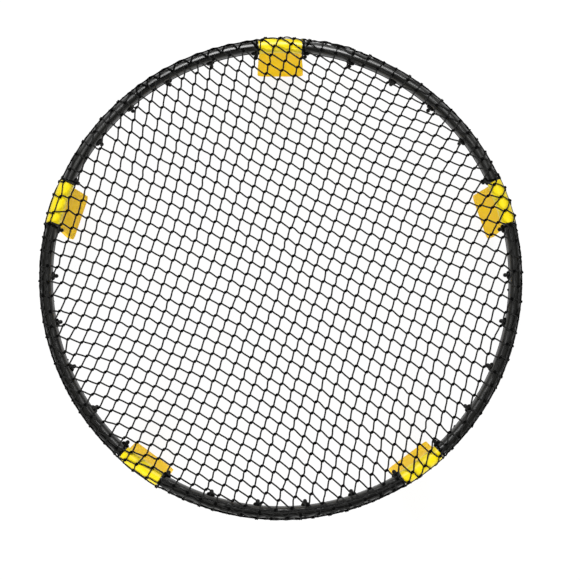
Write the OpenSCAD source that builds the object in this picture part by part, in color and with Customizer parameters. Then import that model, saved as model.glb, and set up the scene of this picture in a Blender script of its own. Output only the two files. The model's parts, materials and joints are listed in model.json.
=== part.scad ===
// Roundnet frame: a round rim of five push-together tubes on five folding legs,
// with a knotless net stretched over the rim and hung on hooks.
// Millimetres. Origin on the ground under the middle of the rim, +Z up, first leg towards +Y.

/* [Rim] */
// Outer diameter over the rim tubes
rim_d = 914; // [860:1:960]
// Height of the tops of the rim tubes above the ground
rim_h = 203; // [170:1:240]
// Outer diameter of a rim tube
tube_d = 22; // [20:0.5:24]
// Wall of a rim tube
tube_wall = 2.2; // [1.6:0.1:3]

/* [Leg collars] */
// Length of a collar along the rim
collar_len = 84; // [76:1:96]
// Wall of a collar round its sockets
collar_wall = 2.4; // [1.8:0.1:3]
// Clearance all round between a tube and its socket
socket_gap = 0.1; // [0.05:0.05:0.2]
// Thickness of the web that parts a collar's two sockets
web_t = 4; // [2:0.5:8]
// Clearance between a tube's end and the web
web_gap = 0.3; // [0.1:0.1:1]
// Length of the thinner lip at each end of a collar
lip_len = 1.2; // [0.5:0.1:3]
// Depth of the step down to that lip
lip_step = 0.6; // [0.3:0.1:1]

/* [Hinges] */
// Diameter of a hinge pin
pin_d = 4; // [3:0.5:5]
// Running clearance all round a pin
pin_gap = 0.05; // [0.02:0.01:0.09]
// Drop from the middle of the tube to the pin
pin_drop = 24; // [22:0.5:30]
// Thickness of a collar's hinge lug
lug_t = 8; // [5:0.5:10]
// Radius of a lug round its pin
lug_r = 6; // [5:0.5:6.5]
// Length of the knuckle of a leg
knuckle_len = 43; // [30:1:48]
// Clearance at each side of the knuckle
knuckle_gap = 0.5; // [0.3:0.1:1]
// Diameter of a pin's heads
pin_head_d = 7; // [6:0.5:9]
// Thickness of a pin's heads
pin_head_t = 1.6; // [1:0.1:3]
// Clearance between a pin's head and the lug
pin_head_gap = 0.3; // [0.1:0.1:0.6]
// Thickness of the stop plate that an open leg leans on
stop_t = 3.2; // [2:0.2:5]
// Clearance between the stop plate and the leg
stop_gap = 0.3; // [0.3:0.05:0.6]
// Overlap of the stop plate with the leg below the lugs
stop_reach = 8; // [4:1:20]

/* [Legs] */
// Thickness of a leg
leg_t = 13; // [10:0.5:15]
// Width of a leg at its shoulders
leg_top_w = 82; // [72:1:88]
// Width of a leg at the ground
foot_w = 96; // [80:1:110]
// Radius of the foot's corners
foot_r = 12; // [4:1:20]
// Radius of the shoulders' corners
shoulder_r = 4; // [2:0.5:8]
// Clearance between the shoulders and the lugs
shoulder_gap = 1; // [0.6:0.1:3]
// Skin of the leg's inner face
leg_skin = 3; // [2:0.2:4]
// Wall round the leg's edge
leg_wall = 3.4; // [2.4:0.2:5]
// Thickness of the sole
sole_t = 5; // [3:0.5:8]
// Thickness of a stiffening rib
rib_t = 2.4; // [1.6:0.2:3]
// Depth of the ribs below the leg's edge
rib_drop = 1.2; // [0.4:0.2:3]
// Number of upright ribs
rib_count = 3; // [1:1:5]
// Number of cross ribs
cross_count = 2; // [1:1:4]

/* [Net hooks] */
// Number of hooks on a rim tube
hook_count = 6; // [3:1:8]
// Distance along the rim from a collar to its nearest hook
hook_inset = 8; // [7:0.5:20]
// Angle of the hooks below the horizontal
hook_dip = 15; // [0:1:30]
// Diameter of a hook's stem
stem_d = 4.4; // [3.6:0.2:5]
// Free length of a hook's stem between pad and head
stem_len = 4.2; // [3:0.2:6]
// Diameter of a hook's head
head_d = 8; // [6.6:0.2:9]
// Length of a hook's head, with its domed end
head_len = 6; // [4:0.2:7]
// Length of the head's straight side, before the dome
head_side = 2; // [1:0.2:3]
// Diameter of the pad that seats on the tube
pad_d = 9; // [7:0.5:10]
// Thickness of that pad
pad_t = 1.3; // [0.8:0.1:2]
// Clearance all round a hook's stem in the tube's wall
stem_gap = 0.1; // [0.03:0.01:0.2]
// Clearance of the tube's wall from the pad outside it and the barb inside it
pad_gap = 0.1; // [0.05:0.01:0.3]
// Extra radius of the barb that holds a hook inside the tube
barb_step = 0.7; // [0.4:0.1:1]
// Length of the barb
barb_len = 1.4; // [0.8:0.1:2]

/* [Net] */
// Thickness of the twine
twine_d = 2; // [1.6:0.1:2.4]
// Thickness of the net's selvedge
selvedge_d = 2.4; // [1.8:0.1:3]
// How far a hook's loop reaches past the middle of the selvedge that it goes round
loop_past = 1.4; // [1:0.1:2]
// Clearance between the net and what it lies on
net_gap = 0.3; // [0.2:0.05:0.4]
// Width of one opening: two of the net's fine meshes
mesh_w = 46.2; // [45:0.1:70]
// Direction of the rows of openings, in degrees from +X
row_dir = -23; // [-45:1:45]
// Direction of the columns of openings, in degrees from +X
col_dir = 68; // [50:1:110]
// Offset of the pattern along its rows, in openings
row_phase = 0.65; // [0:0.01:1]
// Offset of the pattern along its columns, in openings
col_phase = 0.4; // [0:0.01:1]
// How much the rows spread out away from the middle
row_spread = 0.18; // [0:0.01:0.25]
// How much the columns spread out away from the middle
col_spread = 0.21; // [0:0.01:0.25]
// How much the openings close up towards the ends of their rows
row_close = 0.02; // [0:0.01:0.08]
// How much the openings close up towards the ends of their columns
col_close = 0.06; // [0:0.01:0.08]
// Length along the rim over which the net comes down from a collar to the tube
shoulder_len = 23; // [12:1:40]
// How far the net's edge is wrapped round a tube, in degrees from its top
edge_wrap = 225; // [180:1:228]
// How far the net's edge is wrapped round a collar, in degrees from its top
collar_wrap = 105; // [80:1:115]

/* [Hidden] */
$fn = 64;

leg_count = 5;
leg_step = 360 / leg_count;
first_leg = 90;
tube_r = tube_d / 2;
rim_r = rim_d / 2 - tube_r;
rim_z = rim_h - tube_r;
arc_deg = 180 / PI / rim_r;

socket_r = tube_r + socket_gap;
collar_r = socket_r + collar_wall;
collar_deg = collar_len * arc_deg;
web_deg = web_t * arc_deg;
tube_end_deg = (web_t / 2 + web_gap) * arc_deg;

pin_z = rim_z - pin_drop;
pin_bore_r = pin_d / 2 + pin_gap;
lug_in = knuckle_len / 2 + knuckle_gap;
lug_out = lug_in + lug_t;
shoulder_z = pin_z - lug_r - shoulder_gap;
stop_x = leg_t / 2 + stop_gap;
stop_z = shoulder_z - stop_reach;

hook_end_deg = (collar_len / 2 + hook_inset) * arc_deg;
hook_step = (leg_step - 2 * hook_end_deg) / (hook_count - 1);
stem_r = stem_d / 2;
head_at = tube_r + pad_t + stem_len;

wrap_r = tube_r + net_gap + selvedge_d / 2;
wrap_collar_r = collar_r + net_gap + selvedge_d / 2;

// A loop lies across its hook's stem, under the head, and goes down round the selvedge.
// These are points of the plane across the rim: above the hook's axis, and along it.
hook_wrap = 270 - hook_dip;
loop_top = [stem_r + net_gap + twine_d / 2, head_at - net_gap - twine_d / 2];
selvedge_at = wrap_r * [-sin(hook_wrap - edge_wrap), cos(hook_wrap - edge_wrap)];
loop_run = selvedge_at - loop_top;
loop_foot = selvedge_at + loop_past * loop_run / norm(loop_run);
loop_tilt = atan2(loop_top[1] - loop_foot[1], loop_top[0] - loop_foot[0]);
edge_deg = (collar_len / 2 + net_gap + selvedge_d / 2) * arc_deg;
edge_past = selvedge_d / 2 * arc_deg;
shoulder_deg = shoulder_len * arc_deg;

// Steps of the dome on a hook's head
dome_steps = 5;
// Facets of the curves that run along the rim
rim_fn = 360;
// Degrees that a cut runs past the end of what it cuts
cut_past = 1;
// Depth of the ribs' roots in the skin
rib_root = 0.5;
// Least radius of a corner inside a wall
least_r = 1;
// Factor by which the lattice reaches past the rim, for its rows and columns bend
past_rim = 1.4;

function leg_angle(i) = first_leg + (i - 1) * leg_step;
function hook_angle(i, k) = leg_angle(i) + hook_end_deg + k * hook_step;

// ---------- placing ----------

// Turn a child that points along +X to an angle on the rim, at the height of the tubes' middle.
module on_rim(angle) {
    rotate([0, 0, angle]) translate([rim_r, 0, rim_z]) children();
}

// Bend a round bar along the rim, from one angle to another.
module rim_bar(r, from, to) {
    translate([0, 0, rim_z]) rotate([0, 0, from])
        rotate_extrude(angle = to - from, $fn = rim_fn) translate([rim_r, 0]) circle(r);
}

// Point a child that stands on +Z along the hooks' direction: inwards and a little down.
module along_hook(angle) {
    on_rim(angle) rotate([0, -90 - hook_dip, 0]) children();
}

// ---------- rim ----------

module rim_tube(i) {
    from = leg_angle(i) + tube_end_deg;
    to = leg_angle(i + 1) - tube_end_deg;
    color([0.13, 0.13, 0.12]) difference() {
        rim_bar(tube_r, from, to);
        rim_bar(tube_r - tube_wall, from - cut_past, to + cut_past);
        for (k = [0 : hook_count - 1])
            along_hook(hook_angle(i, k)) cylinder(r = stem_r + stem_gap, h = tube_d);
    }
}

// ---------- collars ----------

// A lug in profile: square at the top, round about the pin.
module lug_profile() {
    circle(lug_r);
    translate([-lug_r, 0]) square([2 * lug_r, pin_drop]);
}

module collar_outside(angle) {
    half = collar_deg / 2;
    lip = lip_len * arc_deg;
    rim_bar(collar_r, angle - half + lip, angle + half - lip);
    rim_bar(collar_r - lip_step, angle - half, angle + half);
    on_rim(angle) {
        for (y = [-lug_out, lug_in])
            translate([0, y + lug_t, -pin_drop]) rotate([90, 0, 0])
                linear_extrude(lug_t) lug_profile();
        translate([stop_x, -lug_out, stop_z - rim_z])
            cube([stop_t, 2 * lug_out, rim_z - stop_z - socket_r + stop_t]);
    }
}

module leg_collar(i) {
    angle = leg_angle(i);
    half = collar_deg / 2 + cut_past;
    web = web_deg / 2;
    color([0.98, 0.82, 0.08]) difference() {
        collar_outside(angle);
        rim_bar(socket_r, angle - half, angle - web);
        rim_bar(socket_r, angle + web, angle + half);
        on_rim(angle) translate([0, 0, -pin_drop]) rotate([90, 0, 0])
            cylinder(r = pin_bore_r, h = 3 * lug_out, center = true);
    }
}

module hinge_pin(i) {
    head_from = lug_out + pin_head_gap;
    color([0.72, 0.72, 0.73]) on_rim(leg_angle(i)) translate([0, 0, -pin_drop]) rotate([90, 0, 0]) {
        cylinder(d = pin_d, h = 2 * head_from + pin_head_t, center = true);
        for (side = [0, 1])
            mirror([0, 0, side]) translate([0, 0, head_from]) cylinder(d = pin_head_d, h = pin_head_t);
    }
}

// ---------- legs ----------

// Points of an arc about a centre, from one angle to another.
function arc(c, r, from, to, steps = 8) =
    [for (s = [0 : steps]) let (a = from + (to - from) * s / steps) c + r * [cos(a), sin(a)]];

// Outline of a leg seen from outside, drawn in by a wall at the sides and a sole at the foot.
function leg_outline(wall = 0, sole = 0) =
    let (
        top = leg_top_w / 2 - wall, foot = foot_w / 2 - wall, high = shoulder_z - wall,
        rf = max(foot_r - wall, least_r), rs = max(shoulder_r - wall, least_r)
    ) concat(
        arc([foot - rf, sole + rf], rf, -90, 0),
        arc([top - rs, high - rs], rs, 0, 90),
        arc([rs - top, high - rs], rs, 90, 180),
        arc([rf - foot, sole + rf], rf, 180, 270)
    );

// Stand an outline up across the rim, from one depth of the leg to another.
module leg_slab(from, to) {
    translate([rim_r + from, 0, 0]) rotate([90, 0, 90]) linear_extrude(to - from) children();
}

module leg_ribs() {
    skin_at = leg_skin - leg_t / 2;
    rib_at = leg_t / 2 - rib_drop;
    leg_slab(skin_at - rib_root, rib_at) intersection() {
        polygon(leg_outline(leg_wall / 2, sole_t / 2));
        union() {
            for (n = [1 : rib_count])
                translate([leg_top_w * (n / (rib_count + 1) - 0.5) - rib_t / 2, 0])
                    square([rib_t, shoulder_z]);
            for (n = [1 : cross_count])
                translate([-foot_w / 2, shoulder_z * n / (cross_count + 1) - rib_t / 2])
                    square([foot_w, rib_t]);
        }
    }
}

module leg(i) {
    color([0.96, 0.71, 0.03]) rotate([0, 0, leg_angle(i)]) {
        difference() {
            leg_slab(-leg_t / 2, leg_t / 2) polygon(leg_outline());
            leg_slab(leg_skin - leg_t / 2, leg_t) polygon(leg_outline(leg_wall, sole_t));
        }
        leg_ribs();
        difference() {
            translate([rim_r, 0, 0]) {
                translate([-leg_t / 2, -knuckle_len / 2, shoulder_z - leg_wall])
                    cube([leg_t, knuckle_len, pin_z - shoulder_z + leg_wall]);
                translate([0, 0, pin_z]) rotate([90, 0, 0])
                    cylinder(d = leg_t, h = knuckle_len, center = true);
            }
            translate([rim_r, 0, pin_z]) rotate([90, 0, 0])
                cylinder(r = pin_bore_r, h = 2 * knuckle_len, center = true);
        }
    }
}

// ---------- hooks ----------

module net_hook(angle) {
    inner_r = tube_r - tube_wall;
    barb_r = stem_r + barb_step;
    barb_top = sqrt(inner_r * inner_r - barb_r * barb_r) - pad_gap;
    stem_from = barb_top - barb_len / 2;
    along_hook(angle) {
        translate([0, 0, stem_from]) cylinder(r = stem_r, h = head_at - stem_from);
        translate([0, 0, barb_top - barb_len]) cylinder(r1 = stem_r, r2 = barb_r, h = barb_len);
        difference() {
            cylinder(d = pad_d, h = tube_r + pad_t);
            rotate([90, 0, 0]) cylinder(r = tube_r + pad_gap, h = 2 * pad_d, center = true);
        }
        translate([0, 0, head_at]) rotate_extrude() polygon(concat([[0, 0], [head_d / 2, 0]], [
            for (s = [0 : dome_steps])
                let (a = 90 * s / dome_steps)
                [head_d / 2 * cos(a), head_side + (head_len - head_side) * sin(a)]
        ]));
    }
}

module net_hooks(i) {
    color([0.09, 0.09, 0.09]) for (k = [0 : hook_count - 1]) net_hook(hook_angle(i, k));
}

// ---------- net ----------

// The lattice is counted in openings from the middle of the rim, and this many reach past it.
reach = ceil(rim_d / mesh_w / 2 * past_rim);
side = 2 * reach + 1;
row = [cos(row_dir), sin(row_dir)];
col = [cos(col_dir), sin(col_dir)];

// Where the knot (m, n) lies in plan: a square lattice that opens out towards the rim.
function knot(m, n) =
    let (
        a = (m + row_phase) * mesh_w / rim_r, b = (n + col_phase) * mesh_w / rim_r,
        along = a * (1 + row_spread * b * b - row_close * a * a),
        across = b * (1 + col_spread * a * a - col_close * b * b)
    ) rim_r * (along * row + across * col);

function on_bed(m, n) =
    max(abs(m), abs(n)) < reach && abs(m) + abs(n) < past_rim * reach
    && norm(knot(m, n)) < rim_r - twine_d;

// Degrees from a point's direction in plan to the nearest leg.
function off_leg(p) =
    let (a = atan2(p[1], p[0]) - first_leg)
    abs((a % leg_step + 1.5 * leg_step) % leg_step - leg_step / 2);

function over_collar(p) = off_leg(p) < edge_deg;
function within(x) = min(max(x, 0), 1);

// Height of the net over the middle of the tube: it rises where it passes over a collar.
function lift(p) =
    let (
        beside = within(1 - (off_leg(p) - edge_deg) / shoulder_deg),
        outside = within(1 - (rim_r - norm(p)) / mesh_w)
    ) wrap_r + (wrap_collar_r - wrap_r) * beside * outside;
function bed_z(p) = rim_z + lift(p);

// Where the strand from p to q, outside the rim, passes over the top of the tube.
function crossing(p, q) =
    let (d = q - p, a = d * d, b = p * d, c = p * p - rim_r * rim_r)
    p + d * (sqrt(b * b - a * c) - b) / a;

STEPS = [[1, 0], [0, 1], [-1, 0], [0, -1]];
GRID = [for (m = [-reach : reach]) for (n = [-reach : reach]) [m, n]];
KNOTS = [for (g = GRID) if (on_bed(g[0], g[1])) g];
ENDS = [
    for (g = KNOTS) for (s = [0 : 3])
        let (h = g + STEPS[s])
        if (!on_bed(h[0], h[1])) [g, s, crossing(knot(g[0], g[1]), knot(h[0], h[1]))]
];

// Corners of a knot run round it from the side that faces STEPS[0]; the lower ones follow the upper.
function knot_corners(g) =
    let (p = knot(g[0], g[1]), z = bed_z(p), w = twine_d / 2, plan = [
        p + w * (row - col), p + w * (row + col), p + w * (col - row), p - w * (row + col)
    ]) [for (h = [1, -1]) for (c = plan) [c[0], c[1], z + h * w]];

// A strand's end: two upper corners and two lower ones. The face between them lies along the rim,
// and stands clear of the strand that goes on round the tube.
function end_corners(e) =
    let (
        p = knot(e[0][0], e[0][1]), q = e[2], z = bed_z(q), w = twine_d / 2,
        d = (q - p) / norm(q - p), n = [-d[1], d[0]] * w, out = q / norm(q),
        plan = [for (s = [-1, 1]) q + s * n - d * (net_gap + s * n * out) / (d * out)]
    ) [for (h = [1, -1]) for (c = plan) [c[0], c[1], z + h * w]];

function knot_at(g) = 8 * ((g[0] + reach) * side + g[1] + reach);
function quad(a, b, c, d) = [[a, b, c], [a, c, d]];

// Box between two upper edges a-b and c-d, with their lower edges "drop" points further on.
function strand_faces(a, b, c, d, drop_ab, drop_cd) = concat(
    quad(a, b, c, d),
    quad(a + drop_ab, d + drop_cd, c + drop_cd, b + drop_ab),
    quad(c, b, b + drop_ab, c + drop_cd),
    quad(a, d, d + drop_cd, a + drop_ab)
);

module net() {
    ends_at = 8 * side * side;
    points = concat(
        [for (g = GRID) for (c = knot_corners(g)) c],
        [for (e = ENDS) for (c = end_corners(e)) c]
    );
    knot_faces = [
        for (g = KNOTS)
            let (k = knot_at(g))
            each concat(quad(k + 3, k + 2, k + 1, k), quad(k + 4, k + 5, k + 6, k + 7))
    ];
    link_faces = [
        for (g = KNOTS) for (s = [0, 1])
            let (h = g + STEPS[s], k = knot_at(g), l = knot_at(h))
            if (on_bed(h[0], h[1]))
                each strand_faces(k + s, k + s + 1, l + (s + 2) % 4, l + (s + 3) % 4, 4, 4)
    ];
    end_faces = [
        for (n = [0 : len(ENDS) - 1])
            let (k = knot_at(ENDS[n][0]), s = ENDS[n][1], e = ends_at + 4 * n)
            each concat(
                strand_faces(k + s, k + (s + 1) % 4, e + 1, e, 4, 2),
                quad(e, e + 1, e + 3, e + 2)
            )
    ];
    color([0.07, 0.07, 0.07]) polyhedron(points, concat(knot_faces, link_faces, end_faces));
}

// A strand wrapped round the rim in a plane across it, from one radius and angle from its top
// to another. It is one arc, whose middle is moved towards the start to reach the second radius.
module strand(angle, r_from, from, r_to, to) {
    turn = to - from;
    off = (r_from * r_from - r_to * r_to) / (r_from - r_to * cos(turn)) / 2;
    sweep = (atan2(r_to * sin(turn), r_to * cos(turn) - off) + 360) % 360;
    on_rim(angle) rotate([90, 0, 0]) rotate([0, 0, 90 - from]) translate([off, 0])
        rotate([0, 0, -sweep]) rotate_extrude(angle = sweep)
            translate([r_from - off, 0]) circle(d = twine_d);
}

// The net's selvedge: a cord along the rim, round it at one angle from its top.
module selvedge(r, wrap, from, to) {
    rotate([0, 0, from]) translate([0, 0, rim_z + r * cos(wrap)])
        rotate_extrude(angle = to - from, $fn = rim_fn)
            translate([rim_r + r * sin(wrap), 0]) circle(d = selvedge_d);
}

// The loop that hangs the net's selvedge on one hook.
module net_loop(angle) {
    middle = (loop_top + loop_foot) / 2;
    along_hook(angle) translate([middle[0], 0, middle[1]]) rotate([0, -loop_tilt, 0])
        rotate_extrude() translate([norm(loop_top - loop_foot) / 2, 0]) circle(d = twine_d);
}

module net_edge() {
    color([0.07, 0.07, 0.07]) {
        for (e = ENDS) {
            angle = atan2(e[2][1], e[2][0]);
            if (over_collar(e[2])) strand(angle, wrap_collar_r, 0, wrap_collar_r, collar_wrap);
            else strand(angle, lift(e[2]), 0, wrap_r, edge_wrap);
        }
        for (i = [1 : leg_count]) {
            start = leg_angle(i) - edge_deg;
            end = leg_angle(i) + edge_deg;
            selvedge(wrap_collar_r, collar_wrap, start - edge_past, end + edge_past);
            for (angle = [start, end]) strand(angle, wrap_collar_r, collar_wrap, wrap_r, edge_wrap);
            selvedge(wrap_r, edge_wrap, end - edge_past, start + leg_step + edge_past);
            for (k = [0 : hook_count - 1]) net_loop(hook_angle(i, k));
        }
    }
}

OPENINGS = [
    for (g = KNOTS)
        if (on_bed(g[0] + 1, g[1]) && on_bed(g[0], g[1] + 1) && on_bed(g[0] + 1, g[1] + 1)) g
];
echo(openings = len(OPENINGS), knots = len(KNOTS), strands_over_the_rim = len(ENDS));

rim_tube(1);  // rim_tube_1
rim_tube(2);  // rim_tube_2
rim_tube(3);  // rim_tube_3
rim_tube(4);  // rim_tube_4
rim_tube(5);  // rim_tube_5
leg_collar(1);  // leg_collar_1
leg_collar(2);  // leg_collar_2
leg_collar(3);  // leg_collar_3
leg_collar(4);  // leg_collar_4
leg_collar(5);  // leg_collar_5
leg(1);  // leg_1
leg(2);  // leg_2
leg(3);  // leg_3
leg(4);  // leg_4
leg(5);  // leg_5
hinge_pin(1);  // hinge_pin_1
hinge_pin(2);  // hinge_pin_2
hinge_pin(3);  // hinge_pin_3
hinge_pin(4);  // hinge_pin_4
hinge_pin(5);  // hinge_pin_5
net_hooks(1);  // net_hooks_1
net_hooks(2);  // net_hooks_2
net_hooks(3);  // net_hooks_3
net_hooks(4);  // net_hooks_4
net_hooks(5);  // net_hooks_5
net();
net_edge();
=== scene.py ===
import json
import math

import bmesh
import bpy
import numpy as np
from mathutils import Matrix, Vector

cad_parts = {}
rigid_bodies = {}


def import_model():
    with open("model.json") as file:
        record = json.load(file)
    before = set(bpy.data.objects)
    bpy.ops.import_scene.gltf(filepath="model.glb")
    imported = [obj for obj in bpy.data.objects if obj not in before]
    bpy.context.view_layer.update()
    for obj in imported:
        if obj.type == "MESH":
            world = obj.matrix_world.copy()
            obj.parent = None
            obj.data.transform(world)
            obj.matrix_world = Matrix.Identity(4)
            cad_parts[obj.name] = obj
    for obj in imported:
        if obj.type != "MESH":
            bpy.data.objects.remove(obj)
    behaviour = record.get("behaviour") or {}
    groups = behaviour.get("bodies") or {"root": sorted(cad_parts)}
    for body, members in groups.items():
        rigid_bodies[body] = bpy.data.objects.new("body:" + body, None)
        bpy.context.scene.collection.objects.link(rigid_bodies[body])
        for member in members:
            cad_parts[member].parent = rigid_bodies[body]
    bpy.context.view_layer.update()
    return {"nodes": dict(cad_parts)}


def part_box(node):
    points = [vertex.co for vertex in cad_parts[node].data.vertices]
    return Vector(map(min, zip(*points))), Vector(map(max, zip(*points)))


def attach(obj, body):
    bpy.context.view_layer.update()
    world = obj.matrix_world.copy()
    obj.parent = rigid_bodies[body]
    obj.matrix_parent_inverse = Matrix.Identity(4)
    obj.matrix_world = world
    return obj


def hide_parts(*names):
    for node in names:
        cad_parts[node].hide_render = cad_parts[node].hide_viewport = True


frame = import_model()

# ---------- driving sizes, in metres and degrees ----------

LEGS = 5
FIRST_LEG = 90
LEG_STEP = 360 / LEGS

TWINE = 0.0031          # thickness of the net's twine
SELVEDGE = 0.0032       # thickness of the cord along the net's edge
LIE = 0.0002            # clearance between the net and what it lies on
SAG = 0.0020            # how far the middle of the bed hangs below its edge

# The net is a lattice of rows and columns. The rows and columns bend as the round rim pulls them.
MESH = 0.02328          # side of one mesh
ROW_DIR, COL_DIR = -23.6, 68.1
ROW_PHASE, COL_PHASE = 1.39, -1.19
ROW_SPREAD, COL_SPREAD = 0.177, 0.205   # rows and columns spread away from the middle
ROW_CLOSE, COL_CLOSE = 0.023, 0.068     # meshes close up towards the ends
ROW_LEAN, ROW_DRIFT, ROW_FAN, ROW_TURN = 0.035, -0.007, -0.030, 0.029
COL_BOW, COL_SKEW, COL_CUP, COL_LEAN, COL_DRIFT = 0.063, 0.013, -0.030, 0.022, -0.019
REACH = 30              # meshes counted out from the middle

KNOT = 0.0052           # length over which two strands run together
KNOT_TURN = 15          # degrees from the middle of the mesh's corner to the knot's own direction
KNOT_APART = 0.0014     # how far each of the two strands lies from the knot's middle line
KNOT_GIRTH = 1.06       # thickness of a knot's two strands, against the twine's
WANDER = 0.0006         # how far a strand strays from a straight line
SHIFT = 0.0004          # how far a knot is pulled out of line by hand
RIM_SHIFT = 0.0014      # and how far more near the rim
NEAR_RIM = 2            # how near that is, in meshes
UNEVEN_SHIFT = 0.0018   # and how far more still where the rim's net is most uneven
UNEVEN_FROM, UNEVEN_TO = 158, 205       # that place, in degrees round the rim
SWAY, SWAY_LENGTH = 0.0012, 0.31    # slow waves through the whole net,
SWAYS, SWAY_FIRST, SWAY_STEP = 6, 0.7, 0.2      # each a little shorter than the one before
TIGHT = 0.78            # share of its thickness that twine keeps where it is pulled over a tube

TUBE_WRAP = 225         # where the net's edge lies, in degrees round the tube from its top
COLLAR_WRAP = 106       # and round a collar
SHOULDER = 0.012        # length along the rim over which the net comes down from a collar

# Beside leg 1 the net is slack, and its meshes stand open on the tube in rounded rows.
ARCH_WIDTHS = (4.7, 4.2, 3.7, 4.5, 4.7, 4.0, 3.5, 3.2)  # degrees round the rim that each arch takes
ARCH_ROWS = (-15, 62, 108, 166, TUBE_WRAP)      # where the rows of knots lie, in degrees round the tube
ARCH_PROUD = 0.0012     # how far an arch stands off the tube
ARCH_KNOT = 0.2         # how much thicker an arch is at its feet, where it is knotted
FEET_GIRTH = 0.6        # the cord that the arches stand on,
FEET_STRAY, FEET_WAVES = 3, 2.3         # and how far and how often it strays round the tube
LOOSE_FROM, LOOSE_TO = 64, 92           # on leg 1's other side, where strands are loose
LOOSE = 0.0026          # how far loose strands stand off the tube,
SNUG = 0.0005           # and how far the others do
CORD_WRAP = 99          # where the outermost cord lies, in degrees round the tube from its top
CORD_WAVE = 4           # degrees that it strays to both sides
STRAY_LENGTHS = (0.11, 0.047, 0.023, 0.21)      # the waves in which a cord along a tube strays
CORD_LIFT = 0.45        # share of its looseness that comes and goes with them
CORD_LUMP = 0.45        # how much thicker such a cord is where meshes are drawn into it
POINTED = 6             # the power that makes a wave into narrow lumps
# Over three tubes hands have drawn the meshes out along the rim. Where those strands lie on each
# tube, in degrees round it, and how far they stray:
DRAWN_ROWS = {2: ((-8, 7), (34, 7)), 3: ((-25, 3), (-6, 4), (26, 7)), 4: ((-8, 7), (34, 7))}
TIE_GAP = 0.0022        # from a collar's end to the middle of the cord round the tube there
TIE_GIRTH = 1.15        # thickness of that cord, against the twine's
TIE_END = -110          # where it ends, in degrees round the tube
TIE_DRAWN = 0.8         # how far it has then come towards the nearest hook

HOOK_DIP = 15           # degrees of the hooks below the horizontal
LOOP_GIRTH = 1.25       # a hook's loop is of doubled twine
LOOP_OFF = 0.0043       # from the hook's axis to the middle of its loop's twine
LOOP_OUT = 0.0144       # from the middle of the tube, along the hook, to the same
LOOP_PAST = 0.0014      # how far the loop goes round the selvedge
HOOK_APART = 2          # hooks are more than this many degrees from one to the next

STEPS_OVER_RIM, STEPS_INSIDE = 12, 4    # in how many steps a strand is laid
POINTS = {"selvedge": 900, "cord": 260, "feet": 120, "arch": 17, "row": 7, "tie": 30, "loop": 28}

SOFT_EDGE = 0.0005      # how far the moulded pieces' edges are rounded

FLOOR_SHADOW = 0.10     # how much of the floor's shadow the camera sees
WALL_TOP, CEILING = 0.15, 0.55      # where the white wall ends and the dim ceiling begins
CEILING_LIGHT = 0.12    # the ceiling's light, against the wall's

# ---------- sizes read from the frame ----------


def corners(node):
    """All corners of a CAD node, in metres."""
    vertices = frame["nodes"][node].data.vertices
    flat = np.zeros(len(vertices) * 3)
    vertices.foreach_get("co", flat)
    return flat.reshape(-1, 3)


tube = corners("rim_tube_1")
reach_out = np.hypot(tube[:, 0], tube[:, 1])
rim_r = (reach_out.max() + reach_out.min()) / 2
rim_z = (tube[:, 2].max() + tube[:, 2].min()) / 2
tube_r = (tube[:, 2].max() - tube[:, 2].min()) / 2

collar_low, collar_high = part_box("leg_collar_1")
collar_r = collar_high.z - rim_z
collar_half = (collar_high.x - collar_low.x) / 2

# The arches begin where the net has come down from collar 1, in degrees from leg 1.
ARCHES_FROM = math.degrees((collar_half + TWINE) / rim_r)

# ---------- small tools ----------


def link(name, mesh):
    piece = bpy.data.objects.new(name, mesh)
    bpy.context.scene.collection.objects.link(piece)
    return piece


def baked(source, name):
    """A plain mesh of an object with its modifiers, as a new object; the source goes away."""
    depsgraph = bpy.context.evaluated_depsgraph_get()
    mesh = bpy.data.meshes.new_from_object(
        source.evaluated_get(depsgraph), preserve_all_data_layers=True, depsgraph=depsgraph
    )
    mesh.name = name
    bpy.data.objects.remove(source)
    return link(name, mesh)


def smooth_step(x):
    x = np.clip(x, 0, 1)
    return x * x * (3 - 2 * x)


def add_node(tree, kind, settings=None, **inputs):
    """A node with its settings; an input is a value or another node's output."""
    node = tree.nodes.new(kind)
    for key, value in (settings or {}).items():
        setattr(node, key, value)
    for key, value in inputs.items():
        socket = node.inputs[int(key[1:])] if key[0] == "i" and key[1:].isdigit() else node.inputs[
            key.replace("_", " ")]
        if isinstance(value, bpy.types.NodeSocket):
            tree.links.new(value, socket)
        else:
            socket.default_value = value
    return node


# ---------- how the net lies ----------


def lattice(i, j):
    """Where the lattice point (i, j) would lie if the net were spread out flat."""
    a = (i + ROW_PHASE) * MESH / rim_r
    b = (j + COL_PHASE) * MESH / rim_r
    along = (
        a * (1 + ROW_SPREAD * b * b - ROW_CLOSE * a * a)
        + ROW_LEAN * b**3 + ROW_DRIFT * b * b + ROW_FAN * a * a * b + ROW_TURN * a * b
    )
    across = (
        b * (1 + COL_SPREAD * a * a - COL_CLOSE * b * b)
        + COL_BOW * a * b * b + COL_SKEW * a * b + COL_CUP * a * a
        + COL_LEAN * a**3 + COL_DRIFT * b * b
    )
    row, col = math.radians(ROW_DIR), math.radians(COL_DIR)
    return rim_r * np.stack(
        [along * math.cos(row) + across * math.cos(col),
         along * math.sin(row) + across * math.sin(col)], -1
    )


def off_leg(flat):
    """Distance along the rim from a flat point's direction to the nearest leg."""
    turn = np.degrees(np.arctan2(flat[..., 1], flat[..., 0])) - FIRST_LEG
    turn = (turn + LEG_STEP / 2) % LEG_STEP - LEG_STEP / 2
    return np.abs(np.radians(turn)) * rim_r


def over_collar(flat):
    """1 over a collar, 0 over a tube, and between them on the shoulder."""
    return 1 - smooth_step((off_leg(flat) - collar_half) / SHOULDER)


def wrap_radius(flat, thickness):
    bare = tube_r + (collar_r - tube_r) * over_collar(flat)
    return bare + LIE + thickness / 2


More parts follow.
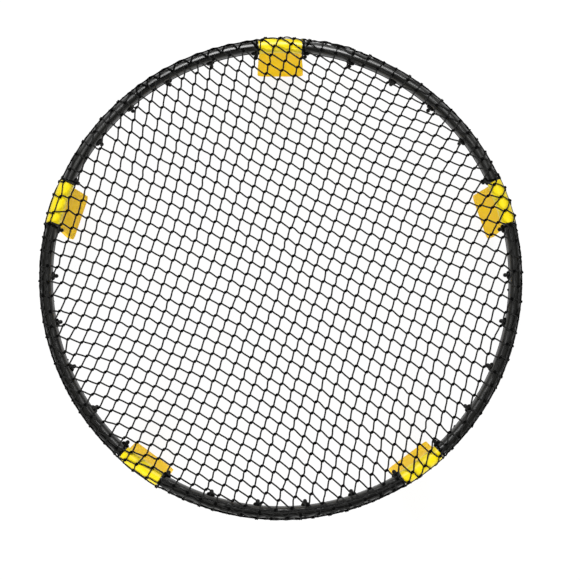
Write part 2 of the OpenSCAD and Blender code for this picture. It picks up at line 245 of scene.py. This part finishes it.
def edge_length(flat):
    """How much of the net lies past the top of the rim before its edge."""
    share = over_collar(flat)
    turn = math.radians(TUBE_WRAP) * (1 - share) + math.radians(COLLAR_WRAP) * share
    return wrap_radius(flat, TWINE) * turn


def outwards(flat):
    """The direction that points away from the frame at a flat point's place on it."""
    out = np.hypot(flat[..., 0], flat[..., 1])
    turn = np.clip(out - rim_r, 0, None) / wrap_radius(flat, TWINE)
    unit = flat / np.maximum(out, 1e-9)[..., None]
    return np.concatenate([unit * np.sin(turn)[..., None], np.cos(turn)[..., None]], -1)


def laid(flat, thickness=TWINE, proud=0.0):
    """Lay flat points on the frame: level inside the rim, and wrapped round it past its top."""
    out = np.hypot(flat[..., 0], flat[..., 1])
    past = out - rim_r
    radius = wrap_radius(flat, thickness) + np.where(past > 0, proud, 0)
    level = tube_r + LIE + thickness / 2
    inside = level + (radius - level) * smooth_step(1 + past / MESH) - SAG * np.clip(
        1 - (out / rim_r) ** 2, 0, 1)
    turn = np.clip(past, 0, None) / radius
    reach = np.where(past > 0, rim_r + radius * np.sin(turn), out)
    height = rim_z + np.where(past > 0, radius * np.cos(turn), inside)
    unit = flat / np.maximum(out, 1e-9)[..., None]
    return np.concatenate([unit * reach[..., None], height[..., None]], -1)


def turned_from_leg(flat):
    """Degrees round the rim from leg 1 to a flat point's direction."""
    return (np.degrees(np.arctan2(flat[..., 1], flat[..., 0])) - FIRST_LEG) % 360


def is_net(flat):
    """Whether the lattice reaches a flat point: it ends at the net's edge, or at the arches."""
    past = turned_from_leg(flat) - ARCHES_FROM
    arched = (past > 0) & (past < sum(ARCH_WIDTHS))
    feet = math.radians(ARCH_ROWS[0]) * wrap_radius(flat, TWINE)
    return np.hypot(flat[..., 0], flat[..., 1]) < rim_r + np.where(arched, feet, edge_length(flat))


def sector(turn, start, end, fade=6):
    """1 between two directions round the rim, in degrees, and 0 away from them."""
    return smooth_step((turn - start) / fade) * smooth_step((end - turn) / fade)


def pulled(rng):
    """Where each lattice point lies once hands have pulled the net over the rim."""
    span = np.arange(-REACH - 1, REACH + 2)
    i, j = np.meshgrid(span, span, indexing="ij")
    flat = lattice(i, j)
    way, phase = rng.uniform(0, math.tau, (2, SWAYS))
    for k in range(SWAYS):
        wave = math.tau / SWAY_LENGTH * (flat @ [math.cos(way[k]), math.sin(way[k])])
        flat[..., k % 2] += SWAY / 2 * np.sin(wave * (SWAY_FIRST + SWAY_STEP * k) + phase[k])
    inside = rim_r - np.hypot(flat[..., 0], flat[..., 1])
    near_rim = smooth_step(1 - inside / MESH / NEAR_RIM)
    turn = np.degrees(np.arctan2(flat[..., 1], flat[..., 0])) % 360
    uneven = RIM_SHIFT + UNEVEN_SHIFT * sector(turn, UNEVEN_FROM, UNEVEN_TO)
    flat += rng.normal(0, 1, flat.shape) * (SHIFT + uneven * near_rim)[..., None]
    return {(a, b): flat[a + REACH + 1, b + REACH + 1] for a in span for b in span}


def looseness(flat):
    """How far the net stands off the tube."""
    turn = np.degrees(np.arctan2(flat[..., 1], flat[..., 0])) % 360
    return SNUG + (LOOSE - SNUG) * sector(turn, LOOSE_FROM, LOOSE_TO)


def knot_half(place, i, j):
    """Half a knot, as a flat vector: it lies near the middle of the mesh's corner."""
    row = place[i + 1, j] - place[i - 1, j]
    col = place[i, j + 1] - place[i, j - 1]
    row, col = row / np.linalg.norm(row), col / np.linalg.norm(col)
    middle = (row + col) / np.linalg.norm(row + col)
    turn = math.radians(KNOT_TURN)
    return KNOT / 2 * np.array([
        middle[0] * math.cos(turn) - middle[1] * math.sin(turn),
        middle[0] * math.sin(turn) + middle[1] * math.cos(turn),
    ])


# ---------- twine ----------


class Skeleton:
    """Middle lines of many lengths of twine, kept as one mesh of edges."""

    def __init__(self):
        self.points, self.edges, self.girth = [], [], []

    def add(self, points, girth=1.0, closed=False):
        first, count = len(self.points), len(points)
        self.points += [tuple(p) for p in points]
        self.edges += [(first + k, first + k + 1) for k in range(count - 1)]
        if closed:
            self.edges.append((first + count - 1, first))
        self.girth += list(np.broadcast_to(girth, count))

    def made(self, name, thickness, sides, material):
        mesh = bpy.data.meshes.new(name + "_lines")
        mesh.from_pydata(self.points, self.edges, [])
        mesh.attributes.new("girth", "FLOAT", "POINT").data.foreach_set(
            "value", np.array(self.girth, np.float32))
        lines = link(name + "_lines", mesh)
        tree = twine_tree()
        modifier = lines.modifiers.new("twine", "NODES")
        modifier.node_group = tree
        values = {"Thickness": thickness, "Sides": sides, "Material": material}
        for item in tree.interface.items_tree:
            if item.name in values:
                modifier[item.identifier] = values[item.name]
        return baked(lines, name)


def twine_tree():
    """Sweeps a round cord along every line, and marks how far along and round each point is."""
    if "twine" in bpy.data.node_groups:
        return bpy.data.node_groups["twine"]
    tree = bpy.data.node_groups.new("twine", "GeometryNodeTree")
    tree.is_modifier = True
    sockets = tree.interface
    sockets.new_socket("Lines", in_out="INPUT", socket_type="NodeSocketGeometry")
    sockets.new_socket("Thickness", in_out="INPUT", socket_type="NodeSocketFloat")
    sockets.new_socket("Sides", in_out="INPUT", socket_type="NodeSocketInt")
    sockets.new_socket("Material", in_out="INPUT", socket_type="NodeSocketMaterial")
    sockets.new_socket("Twine", in_out="OUTPUT", socket_type="NodeSocketGeometry")
    given = tree.nodes.new("NodeGroupInput").outputs
    curve = add_node(tree, "GeometryNodeMeshToCurve", Mesh=given["Lines"])
    girth = add_node(tree, "GeometryNodeInputNamedAttribute", {"data_type": "FLOAT"}, Name="girth")
    along = add_node(tree, "GeometryNodeSplineParameter")
    marked = add_node(
        tree, "GeometryNodeStoreNamedAttribute", {"data_type": "FLOAT", "domain": "POINT"},
        Geometry=curve.outputs["Curve"], Name="twine_along", Value=along.outputs["Length"])
    half = add_node(
        tree, "ShaderNodeMath", {"operation": "MULTIPLY"}, i0=given["Thickness"], i1=0.5)
    ring = add_node(
        tree, "GeometryNodeCurvePrimitiveCircle", Resolution=given["Sides"],
        Radius=half.outputs[0])
    around = add_node(tree, "GeometryNodeSplineParameter")
    profile = add_node(
        tree, "GeometryNodeStoreNamedAttribute", {"data_type": "FLOAT", "domain": "POINT"},
        Geometry=ring.outputs["Curve"], Name="twine_around", Value=around.outputs["Factor"])
    cord = add_node(
        tree, "GeometryNodeCurveToMesh", Curve=marked.outputs["Geometry"],
        Profile_Curve=profile.outputs["Geometry"], Scale=girth.outputs["Attribute"], Fill_Caps=True)
    smooth = add_node(tree, "GeometryNodeSetShadeSmooth", Geometry=cord.outputs["Mesh"])
    real = add_node(
        tree, "GeometryNodeRealizeInstances", Geometry=smooth.outputs["Geometry"])
    done = add_node(
        tree, "GeometryNodeSetMaterial", Geometry=real.outputs["Geometry"],
        Material=given["Material"])
    add_node(tree, "NodeGroupOutput", Twine=done.outputs["Geometry"])
    return tree


# ---------- shader groups ----------


def shader_group(name, inputs, outputs):
    tree = bpy.data.node_groups.new(name, "ShaderNodeTree")
    for socket, value in inputs.items():
        made = tree.interface.new_socket(socket, in_out="INPUT", socket_type="NodeSocketFloat")
        made.default_value = value
    for socket in outputs:
        tree.interface.new_socket(socket, in_out="OUTPUT", socket_type="NodeSocketFloat")
    return tree, tree.nodes.new("NodeGroupInput").outputs


def math_node(tree, operation, *values):
    return add_node(
        tree, "ShaderNodeMath", {"operation": operation},
        **{f"i{k}": v for k, v in enumerate(values)}).outputs[0]


def moulded_grain():
    """The fine even grain of a moulded plastic, and slow changes in how it shines."""
    tree, given = shader_group("moulded_grain", {"Fineness": 1400.0}, ["Height", "Cloud"])
    place = add_node(tree, "ShaderNodeTexCoord").outputs["Object"]
    grain = add_node(
        tree, "ShaderNodeTexNoise", Vector=place, Scale=given["Fineness"], Detail=3.0)
    cloud = add_node(tree, "ShaderNodeTexNoise", Vector=place, Scale=28.0, Detail=4.0)
    add_node(
        tree, "NodeGroupOutput", Height=grain.outputs["Fac"], Cloud=cloud.outputs["Fac"])
    return tree


def streaks_along_rim():
    """Thin marks drawn out along the rim, as an extruded tube has."""
    tree, given = shader_group("streaks_along_rim", {"Fineness": 430.0, "Stretch": 0.045}, ["Mask"])
    place = add_node(
        tree, "ShaderNodeSeparateXYZ", Vector=add_node(tree, "ShaderNodeTexCoord").outputs["Object"])
    x, y, z = place.outputs
    angle = math_node(tree, "ARCTAN2", y, x)
    around = math_node(tree, "MULTIPLY", math_node(tree, "MULTIPLY", angle, rim_r), given["Stretch"])
    out = math_node(
        tree, "SQRT",
        math_node(tree, "ADD", math_node(tree, "MULTIPLY", x, x), math_node(tree, "MULTIPLY", y, y)))
    drawn = add_node(tree, "ShaderNodeCombineXYZ", X=around, Y=out, Z=z)
    noise = add_node(
        tree, "ShaderNodeTexNoise", Vector=drawn.outputs[0], Scale=given["Fineness"], Detail=2.0)
    add_node(tree, "NodeGroupOutput", Mask=noise.outputs["Fac"])
    return tree


def braid():
    """Strands that cross each other round a braided twine."""
    tree, given = shader_group("braid", {"Pitch": 0.0022, "Strands": 4.0}, ["Height"])
    along = add_node(tree, "ShaderNodeAttribute", {"attribute_name": "twine_along"}).outputs["Fac"]
    around = add_node(tree, "ShaderNodeAttribute", {"attribute_name": "twine_around"}).outputs["Fac"]
    turns = math_node(tree, "DIVIDE", along, given["Pitch"])
    spun = math_node(tree, "MULTIPLY", around, given["Strands"])
    waves = [
        math_node(
            tree, "SINE", math_node(tree, "MULTIPLY", math_node(tree, way, turns, spun), math.tau))
        for way in ("ADD", "SUBTRACT")
    ]
    add_node(tree, "NodeGroupOutput", Height=math_node(tree, "MAXIMUM", *waves))
    return tree


GRAIN, STREAKS, BRAID = moulded_grain(), streaks_along_rim(), braid()

# ---------- materials ----------


def material(name, color, roughness, **sockets):
    """A material with constant values on its shader, and the tree to add to."""
    made = bpy.data.materials.new(name)
    made.use_nodes = True
    tree = made.node_tree
    shader = tree.nodes["Principled BSDF"]
    shader.inputs["Base Color"].default_value = (*color, 1)
    shader.inputs["Roughness"].default_value = roughness
    for socket, value in sockets.items():
        shader.inputs[socket.replace("_", " ")].default_value = value
    return made, tree, shader


def placed(tree, group, **inputs):
    return add_node(tree, "ShaderNodeGroup", {"node_tree": group}, **inputs).outputs


def between(tree, mask, low, high):
    """A mask spread from one value to another. Noise seldom leaves its middle part."""
    noise_low, noise_high = 0.35, 0.65
    return add_node(
        tree, "ShaderNodeMapRange", Value=mask, From_Min=noise_low, From_Max=noise_high,
        To_Min=low, To_Max=high).outputs["Result"]


def tinted(tree, mask, dark, light):
    """A colour between two, by a mask."""
    mix = add_node(tree, "ShaderNodeMix", {"data_type": "RGBA"})
    tree.links.new(mask, mix.inputs[0])
    mix.inputs[6].default_value, mix.inputs[7].default_value = (*dark, 1), (*light, 1)
    return mix.outputs[2]


def bumped(tree, shader, height, strength, distance):
    bump = add_node(tree, "ShaderNodeBump", Strength=strength, Distance=distance, Height=height)
    tree.links.new(bump.outputs["Normal"], shader.inputs["Normal"])


def moulded_plastic(name, dark, light, rough, gloss, fineness):
    made, tree, shader = material(name, light, rough, Specular_IOR_Level=gloss)
    grain = placed(tree, GRAIN, Fineness=fineness)
    tree.links.new(tinted(tree, grain["Cloud"], dark, light), shader.inputs["Base Color"])
    tree.links.new(
        between(tree, grain["Cloud"], rough - 0.05, rough + 0.07), shader.inputs["Roughness"])
    bumped(tree, shader, grain["Height"], 0.12, 0.0002)
    return made


def rim_plastic():
    made, tree, shader = material(
        "rim_plastic", (0.004, 0.004, 0.003), 0.32, Specular_IOR_Level=0.85)
    streak = placed(tree, STREAKS)["Mask"]
    mask = between(tree, streak, 0.0, 1.0)
    tree.links.new(
        tinted(tree, mask, (0.0003, 0.0003, 0.0002), (0.009, 0.009, 0.007)),
        shader.inputs["Base Color"])
    tree.links.new(between(tree, streak, 0.29, 0.36), shader.inputs["Roughness"])
    bumped(tree, shader, streak, 0.03, 0.0003)
    return made


def twine_nylon(name, dark, light):
    made, tree, shader = material(name, light, 0.8, Specular_IOR_Level=0.06)
    height = placed(tree, BRAID)["Height"]
    # The twine is painted darker down in the braid's grooves, as painted shade; the same height also
    # bumps it.
    tree.links.new(tinted(tree, height, dark, light), shader.inputs["Base Color"])
    bumped(tree, shader, height, 0.5, 0.0002)
    return made


def turned_steel():
    made, tree, shader = material("pin_steel", (0.6, 0.6, 0.61), 0.3, Metallic=1.0)
    grain = placed(tree, GRAIN, Fineness=2600.0)
    tree.links.new(between(tree, grain["Height"], 0.22, 0.38), shader.inputs["Roughness"])
    return made


FINISHES = {
    "rim_tube": rim_plastic(),
    "leg_collar": moulded_plastic(
        "collar_plastic", (0.78, 0.58, 0.003), (0.84, 0.69, 0.005), 0.36, 0.42, 1500.0),
    "leg": moulded_plastic(
        "leg_plastic", (0.97, 0.57, 0.001), (0.99, 0.66, 0.001), 0.60, 0.10, 1300.0),
    "net_hooks": moulded_plastic(
        "hook_plastic", (0.003, 0.003, 0.003), (0.007, 0.007, 0.007), 0.45, 0.2, 1800.0),
    "hinge_pin": turned_steel(),
}
TWINE_NYLON = twine_nylon("net_twine", (0.006, 0.006, 0.006), (0.030, 0.030, 0.029))
# The same twine painted darker, as painted shade: the shade inside a knot's dense strands. The arches,
# collar ties and outer cord take it too, so that they read black.
SHADED_TWINE_NYLON = twine_nylon("net_twine_drawn_tight", (0.0005, 0.0005, 0.0005), (0.003, 0.003, 0.003))

# ---------- the frame's own pieces ----------


def painted(node, finish):
    slots = frame["nodes"][node].data.materials
    slots.clear()
    slots.append(finish)


def softened(node, finish):
    """A copy of a CAD node with its edges rounded as a mould leaves them."""
    weld, flat, sharp = 1e-6, math.radians(0.4), math.radians(34)
    form = bmesh.new()
    form.from_mesh(frame["nodes"][node].data)
    bmesh.ops.remove_doubles(form, verts=form.verts, dist=weld)
    bmesh.ops.dissolve_limit(form, angle_limit=flat, verts=form.verts, edges=form.edges)
    mesh = bpy.data.meshes.new(node + "_form")
    form.to_mesh(mesh)
    form.free()
    mesh.materials.append(finish)
    mesh.shade_smooth()
    source = link(node + "_form", mesh)
    bevel = source.modifiers.new("soft_edges", "BEVEL")
    bevel.width, bevel.segments = SOFT_EDGE, 2
    bevel.limit_method, bevel.angle_limit = "ANGLE", sharp
    level = source.modifiers.new("level_faces", "WEIGHTED_NORMAL")
    level.mode, level.weight = "FACE_AREA", 50
    return baked(source, node + "_moulded")


def body_of(node):
    return frame["nodes"][node].parent.name.removeprefix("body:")


MOULDED = {"leg_collar": "collar_plastic", "leg": "leg_plastic"}

for number in range(1, LEGS + 1):
    for kind, finish in FINISHES.items():
        node = f"{kind}_{number}"
        if kind in MOULDED:
            piece = softened(node, finish)
            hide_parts(node)
            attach(piece, body_of(node))
        else:
            painted(node, finish)

# ---------- the net ----------


def strand_line(rng, start, end, steps):
    """A flat line from one knot to the next, straying a little to its sides."""
    t = np.linspace(0, 1, steps + 1)[:, None]
    run = end - start
    side = np.array([-run[1], run[0]]) / np.linalg.norm(run)
    sway, twist = rng.normal(0, WANDER / 2, 2)
    return start + t * run + side * (sway * np.sin(math.pi * t) + twist * np.sin(math.tau * t))


def cut_at_edge(line):
    """The part of a flat line up to the net's edge, ending on it."""
    alive = is_net(line)
    if alive.all():
        return line
    last = int(np.argmin(alive)) - 1
    if last < 0:
        return line[:0]
    low, high = line[last], line[last + 1]
    for _ in range(12):
        middle = (low + high) / 2
        low, high = (middle, high) if is_net(middle) else (low, middle)
    return np.vstack([line[:last + 1], low])


def weave():
    """The strands inside the rim, the strands round it, and the knots."""
    rng = np.random.default_rng(11)
    place = pulled(rng)
    bed, wrap, knots = Skeleton(), Skeleton(), Skeleton()
    for i in range(-REACH, REACH + 1):
        for j in range(-REACH, REACH + 1):
            here = place[i, j]
            if not is_net(here):
                continue
            half = knot_half(place, i, j)
            add_knot(rng, knots, here, half)
            for di, dj in ((1, 0), (0, 1), (-1, 0), (0, -1)):
                there = place[i + di, j + dj]
                way = di + dj
                if way < 0 and is_net(there):
                    continue
                other = knot_half(place, i + di, j + dj) if is_net(there) else half
                outside = max(np.linalg.norm(here), np.linalg.norm(there)) > rim_r - MESH / 2
                steps = STEPS_OVER_RIM if outside else STEPS_INSIDE
                line = cut_at_edge(
                    strand_line(rng, here + way * half, there - way * other, steps))
                if len(line) < 2:
                    continue
                proud = looseness(line) * rng.uniform(0, 1) * np.sin(
                    math.pi * np.linspace(0, 1, len(line)))
                over_tube = smooth_step((np.hypot(*line.T) - rim_r) / tube_r + 1)
                (wrap if outside else bed).add(
                    laid(line, proud=proud), girth=1 - (1 - TIGHT) * over_tube)
    return bed, wrap, knots


def add_knot(rng, knots, here, half):
    """Two strands that turn half round each other."""
    t = np.linspace(-1, 1, 5)[:, None]
    flat = here + t * half
    out = outwards(flat)
    middle = laid(flat) + out * (KNOT_APART * 0.5 + looseness(here) * rng.uniform(0, 0.5))
    side = np.cross(middle[-1] - middle[0], out)
    side /= np.linalg.norm(side, axis=1)[:, None]
    apart = KNOT_APART * (1 - 0.5 * t**2)
    for way in (1, -1):
        turn = math.pi / 2 * t
        knots.add(middle + way * apart * (side * np.cos(turn) + out * np.sin(turn)))


def round_the_rim(turn, wrap, thickness=TWINE, proud=0.0):
    """Points on the rim, from degrees round it and degrees round its tube."""
    turn = np.radians(turn)
    unit = np.stack([np.cos(turn), np.sin(turn)], -1)
    out = rim_r + np.radians(wrap) * wrap_radius(unit * rim_r, thickness)
    return laid(unit * out[..., None], thickness, proud)


def along_arches(place):
    """Degrees round the rim, from a place counted in arches."""
    feet = np.cumsum([0, *ARCH_WIDTHS])
    return FIRST_LEG + ARCHES_FROM + np.interp(place, np.arange(len(feet)), feet)


def arches(cord):
    """The slack meshes: rounded arches on top, and rows of meshes from them to the edge."""
    feet, crests = ARCH_ROWS[:2]
    count = len(ARCH_WIDTHS)
    turn = along_arches(np.linspace(0, count, POINTS["feet"]))
    cord.add(round_the_rim(turn, feet + FEET_STRAY * np.sin(turn * FEET_WAVES)), girth=FEET_GIRTH)
    bow = np.linspace(0, math.pi, POINTS["arch"])
    for n in range(count):
        cord.add(
            round_the_rim(
                along_arches(n + bow / math.pi), feet + (crests - feet) * np.sin(bow),
                proud=ARCH_PROUD * np.sin(bow)),
            girth=1 + ARCH_KNOT * np.cos(bow) ** POINTED)
    for row, (wrap, below) in enumerate(zip(ARCH_ROWS[1:], ARCH_ROWS[2:])):
        shift = 0.5 * (1 - row % 2)
        for n in range(count):
            for way in (-0.5, 0.5):
                place = np.clip(n + shift + way * np.linspace(0, 1, POINTS["row"]), 0, count)
                cord.add(round_the_rim(
                    along_arches(place), np.linspace(wrap, below, POINTS["row"])))


def collar_ties(cord):
    """Twine drawn over the tube beside each end of a collar, to the nearest hook."""
    hooks = np.degrees(hook_angles())
    wrap = np.linspace(CORD_WRAP, TIE_END, POINTS["tie"])
    radius = tube_r + LIE + TWINE * TIE_GIRTH / 2
    reach = rim_r + radius * np.sin(np.radians(wrap))
    height = rim_z + radius * np.cos(np.radians(wrap))
    beside = math.degrees(TIE_GAP / rim_r)
    for leg in range(LEGS):
        for way in (-1, 1):
            end = FIRST_LEG + leg * LEG_STEP + way * math.degrees(collar_half / rim_r)
            to_hook = np.abs((hooks - end + 180) % 360 - 180).min()
            drawn = smooth_step(-wrap / 90) * (to_hook - beside) * TIE_DRAWN
            turn = np.radians(end + way * (beside + drawn))
            cord.add(
                np.stack([reach * np.cos(turn), reach * np.sin(turn), height], -1), TIE_GIRTH)


def edge_cord():
    """The selvedge right round the net."""
    turn = np.linspace(0, math.tau, POINTS["selvedge"], endpoint=False)
    unit = np.stack([np.cos(turn), np.sin(turn)], -1)
    out = rim_r + edge_length(unit * rim_r)
    cord = Skeleton()
    cord.add(laid(unit * out[:, None], SELVEDGE), closed=True)
    return cord


def along_tube(rng, cord, number, wrap, wave, thickness, girth):
    """A cord that wanders along one tube, from collar to collar."""
    apart = math.degrees((collar_half + SELVEDGE) / rim_r)
    start = FIRST_LEG + (number - 1) * LEG_STEP + apart
    turn = np.linspace(start, start + LEG_STEP - 2 * apart, POINTS["cord"])
    metres = np.radians(turn) * rim_r
    waves = rng.uniform(0, math.tau, len(STRAY_LENGTHS))
    stray = sum(
        np.sin(metres * math.tau / length + phase) / 2
        for length, phase in zip(STRAY_LENGTHS, waves))
    unit = np.stack([np.cos(np.radians(turn)), np.sin(np.radians(turn))], -1)
    proud = looseness(unit) * (1 - CORD_LIFT + CORD_LIFT * stray)
    lump = (0.5 + 0.5 * np.cos(metres * math.tau / MESH + waves[0] + 2 * stray)) ** POINTED
    cord.add(
        round_the_rim(turn, wrap + wave * stray, thickness, proud), girth + CORD_LUMP * lump)


def outer_cord():
    """The outermost line of the meshes, drawn tight along the outside of each tube."""
    rng = np.random.default_rng(5)
    cord = Skeleton()
    for number in range(1, LEGS + 1):
        along_tube(rng, cord, number, CORD_WRAP, CORD_WAVE, SELVEDGE, 1)
    return cord


def drawn_rows():
    """Strands of meshes that are drawn out along the tubes."""
    rng = np.random.default_rng(8)
    cord = Skeleton()
    for number, rows in DRAWN_ROWS.items():
        for wrap, wave in rows:
            along_tube(rng, cord, number, wrap, wave, TWINE, TIGHT)
    return cord


def hook_angles():
    """Where the hooks stand round the rim, read from their solids."""
    found = []
    for number in range(1, LEGS + 1):
        points = corners(f"net_hooks_{number}")
        turn = np.degrees(np.arctan2(points[:, 1], points[:, 0])) % 360
        middle = np.median(turn)
        turn = np.sort((turn - middle + 180) % 360 - 180)
        apart = np.split(turn, np.flatnonzero(np.diff(turn) > HOOK_APART) + 1)
        found += [math.radians(float(a.min() + a.max()) / 2 + middle) for a in apart]
    return found


def hook_loops():
    """A loop of twine from the selvedge over each hook."""
    loops = Skeleton()
    below = math.radians(270 - HOOK_DIP - TUBE_WRAP)
    radius = tube_r + LIE + SELVEDGE / 2
    top = np.array([LOOP_OFF, LOOP_OUT])
    selvedge = radius * np.array([-math.sin(below), math.cos(below)])
    run = selvedge - top
    foot = selvedge + LOOP_PAST * run / np.linalg.norm(run)
    middle, half = (top + foot) / 2, (top - foot) / 2
    size = np.linalg.norm(half)
    turn = np.linspace(0, math.tau, POINTS["loop"], endpoint=False)[:, None]
    dip = math.radians(HOOK_DIP)
    for angle in hook_angles():
        outward = np.array([math.cos(angle), math.sin(angle), 0])
        along = np.array([-math.sin(angle), math.cos(angle), 0])
        hook = -outward * math.cos(dip) - np.array([0, 0, math.sin(dip)])
        above = -outward * math.sin(dip) + np.array([0, 0, math.cos(dip)])
        root = outward * rim_r + np.array([0, 0, rim_z])
        plane = (half[0] * above + half[1] * hook) / size
        centre = root + middle[0] * above + middle[1] * hook
        loops.add(
            centre + size * (np.cos(turn) * plane + np.sin(turn) * along), LOOP_GIRTH, closed=True)
    return loops


bed, wrap, knots = weave()
slack, ties = Skeleton(), Skeleton()
arches(slack)
collar_ties(ties)
# Each piece of the net: its lines, thickness, sides, finish, and the CAD nodes that it replaces.
NET = {
    "net_bed": (bed, TWINE, 6, TWINE_NYLON, ["net"]),
    "net_over_rim": (wrap, TWINE, 6, TWINE_NYLON, ["net_edge"]),
    # The knots, arches, collar ties and outer cord have the twine painted darker, as painted shade.
    "net_knots": (knots, TWINE * KNOT_GIRTH, 6, SHADED_TWINE_NYLON, []),
    "net_selvedge": (edge_cord(), SELVEDGE, 8, TWINE_NYLON, []),
    "net_arches": (slack, TWINE, 6, SHADED_TWINE_NYLON, []),
    "net_collar_ties": (ties, TWINE, 6, SHADED_TWINE_NYLON, []),
    "net_outer_cord": (outer_cord(), TWINE, 8, SHADED_TWINE_NYLON, []),
    "net_drawn_rows": (drawn_rows(), TWINE, 6, TWINE_NYLON, []),
    "net_hook_loops": (hook_loops(), TWINE, 8, TWINE_NYLON, []),
}
for name, (skeleton, thickness, sides, finish, nodes) in NET.items():
    piece = skeleton.made(name, thickness, sides, finish)
    if nodes:
        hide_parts(*nodes)
    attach(piece, "rim")

# ---------- floor, light and camera ----------


def white_floor():
    """A white floor. What the camera sees of it is mostly its own white, and a little shadow."""
    half = 12.0
    shadow_reach, all_white = 0.9, 2.2      # from where to where the shadow fades out
    paint, seen_white = 0.8, 1.01           # the floor's white in the room's light, and its own
    mesh = bpy.data.meshes.new("floor")
    mesh.from_pydata(
        [(-half, -half, 0), (half, -half, 0), (half, half, 0), (-half, half, 0)], [], [(0, 1, 2, 3)])
    floor = link("floor", mesh)
    made, tree, shader = material("floor_white", (paint,) * 3, 0.9, Specular_IOR_Level=0.0)
    path = add_node(tree, "ShaderNodeLightPath").outputs
    seen = path["Is Camera Ray"]
    for ray in ("Is Glossy Ray", "Is Transmission Ray"):
        seen = math_node(tree, "MAXIMUM", seen, path[ray])
    place = add_node(tree, "ShaderNodeTexCoord").outputs["Object"]
    distance = add_node(
        tree, "ShaderNodeVectorMath", {"operation": "LENGTH"}, i0=place).outputs["Value"]
    white = add_node(
        tree, "ShaderNodeMapRange", Value=distance, From_Min=shadow_reach, From_Max=all_white,
        To_Min=seen_white - FLOOR_SHADOW, To_Max=1.0).outputs["Result"]
    own = add_node(tree, "ShaderNodeMapRange", Value=seen, To_Min=paint, To_Max=FLOOR_SHADOW)
    tree.links.new(own.outputs["Result"], shader.inputs["Base Color"])
    shader.inputs["Emission Color"].default_value = (1, 1, 1, 1)
    tree.links.new(math_node(tree, "MULTIPLY", seen, white), shader.inputs["Emission Strength"])
    # From under the floor the frame shows through it.
    mix = add_node(
        tree, "ShaderNodeMixShader", i0=add_node(tree, "ShaderNodeNewGeometry").outputs["Backfacing"],
        i1=shader.outputs["BSDF"], i2=add_node(tree, "ShaderNodeBsdfTransparent").outputs["BSDF"])
    tree.links.new(mix.outputs["Shader"], tree.nodes["Material Output"].inputs["Surface"])
    mesh.materials.append(made)


def sky():
    """A studio with white walls and a dim ceiling."""
    world = bpy.data.worlds.new("studio")
    bpy.context.scene.world = world
    world.use_nodes = True
    tree = world.node_tree
    back = tree.nodes["Background"]
    way = add_node(tree, "ShaderNodeTexCoord").outputs["Generated"]
    height = add_node(tree, "ShaderNodeSeparateXYZ", Vector=way).outputs["Z"]
    strength = add_node(
        tree, "ShaderNodeMapRange", {"interpolation_type": "SMOOTHSTEP"}, Value=height,
        From_Min=WALL_TOP, From_Max=CEILING, To_Min=1.0, To_Max=CEILING_LIGHT)
    back.inputs["Color"].default_value = (1, 1, 1, 1)
    tree.links.new(strength.outputs["Result"], back.inputs["Strength"])


def lamp(name, place, size, power, mirrored=True):
    light = bpy.data.lights.new(name, "AREA")
    light.shape, light.energy = "RECTANGLE", power
    light.size, light.size_y = size
    made = link(name, light)
    made.visible_glossy = mirrored
    made.location = place
    made.rotation_mode = "QUATERNION"
    made.rotation_quaternion = (Vector((0, 0, rim_z)) - Vector(place)).to_track_quat("-Z", "Y")


def camera():
    """Looks almost straight down, from a little way towards the front."""
    frame_px, focal_px = 580, 1050.2
    distance, tilt, azimuth, roll = 2.0, math.radians(5.3), math.radians(-1.8), math.radians(-0.13)
    aim = Vector((0, 0, rim_z))
    aim_px = (280.9, 274.3)
    lift = math.pi / 2 - tilt
    back = Vector((
        math.sin(azimuth) * math.cos(lift), -math.cos(azimuth) * math.cos(lift), math.sin(lift)))
    right = (-back).cross(Vector((0, 1, 0))).normalized()
    up = right.cross(-back)
    right, up = (
        right * math.cos(roll) + up * math.sin(roll), up * math.cos(roll) - right * math.sin(roll))
    data = bpy.data.cameras.new("camera")
    data.sensor_width = 36
    data.lens = data.sensor_width * focal_px / frame_px
    data.shift_x = (frame_px / 2 - aim_px[0]) / frame_px
    data.shift_y = (aim_px[1] - frame_px / 2) / frame_px
    made = link("camera", data)
    made.matrix_world = Matrix.Translation(aim + back * distance) @ Matrix(
        (right, up, back)).transposed().to_4x4()
    bpy.context.scene.camera = made


white_floor()
sky()
lamp("key", (-0.05, 1.50, 2.25), (1.15, 1.2), 62)
lamp("fill", (-0.4, -1.9, 1.6), (2.0, 1.2), 54, mirrored=False)
camera()
bpy.context.scene.view_settings.view_transform = "Standard"
